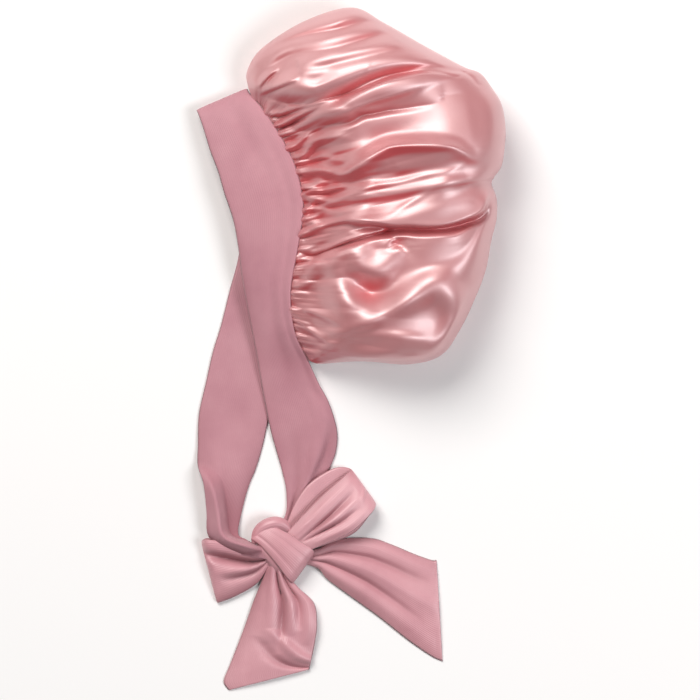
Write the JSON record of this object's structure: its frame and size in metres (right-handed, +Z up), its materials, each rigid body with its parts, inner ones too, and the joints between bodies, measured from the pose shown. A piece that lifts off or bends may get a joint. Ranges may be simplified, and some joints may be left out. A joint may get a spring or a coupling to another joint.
{
  "type": "sleep bonnet with tie band",
  "caption": "Gathered satin sleep bonnet with a wide jersey band whose long ties are knotted in a bow, lying on its side.",
  "frame": {"origin": "on the resting surface, under the middle of the outline", "axes": "+Z up from the surface it lies on, +Y from the bow to the crown, +X from the face opening to the back of the crown"},
  "size_m": [0.3088, 0.6854, 0.1052],
  "materials": {
    "satin": "soft glossy rose satin, gathered",
    "jersey": "matte dusty rose fine rib jersey, double layer"
  },
  "bodies": {
    "root": {"crown": "satin", "band": "jersey", "near_tie": "jersey", "far_tie": "jersey", "knot_wrap": "jersey", "right_loop": "jersey", "left_loop": "jersey", "lower_tail": "jersey", "right_tail": "jersey"}
  },
  "joints": []
}
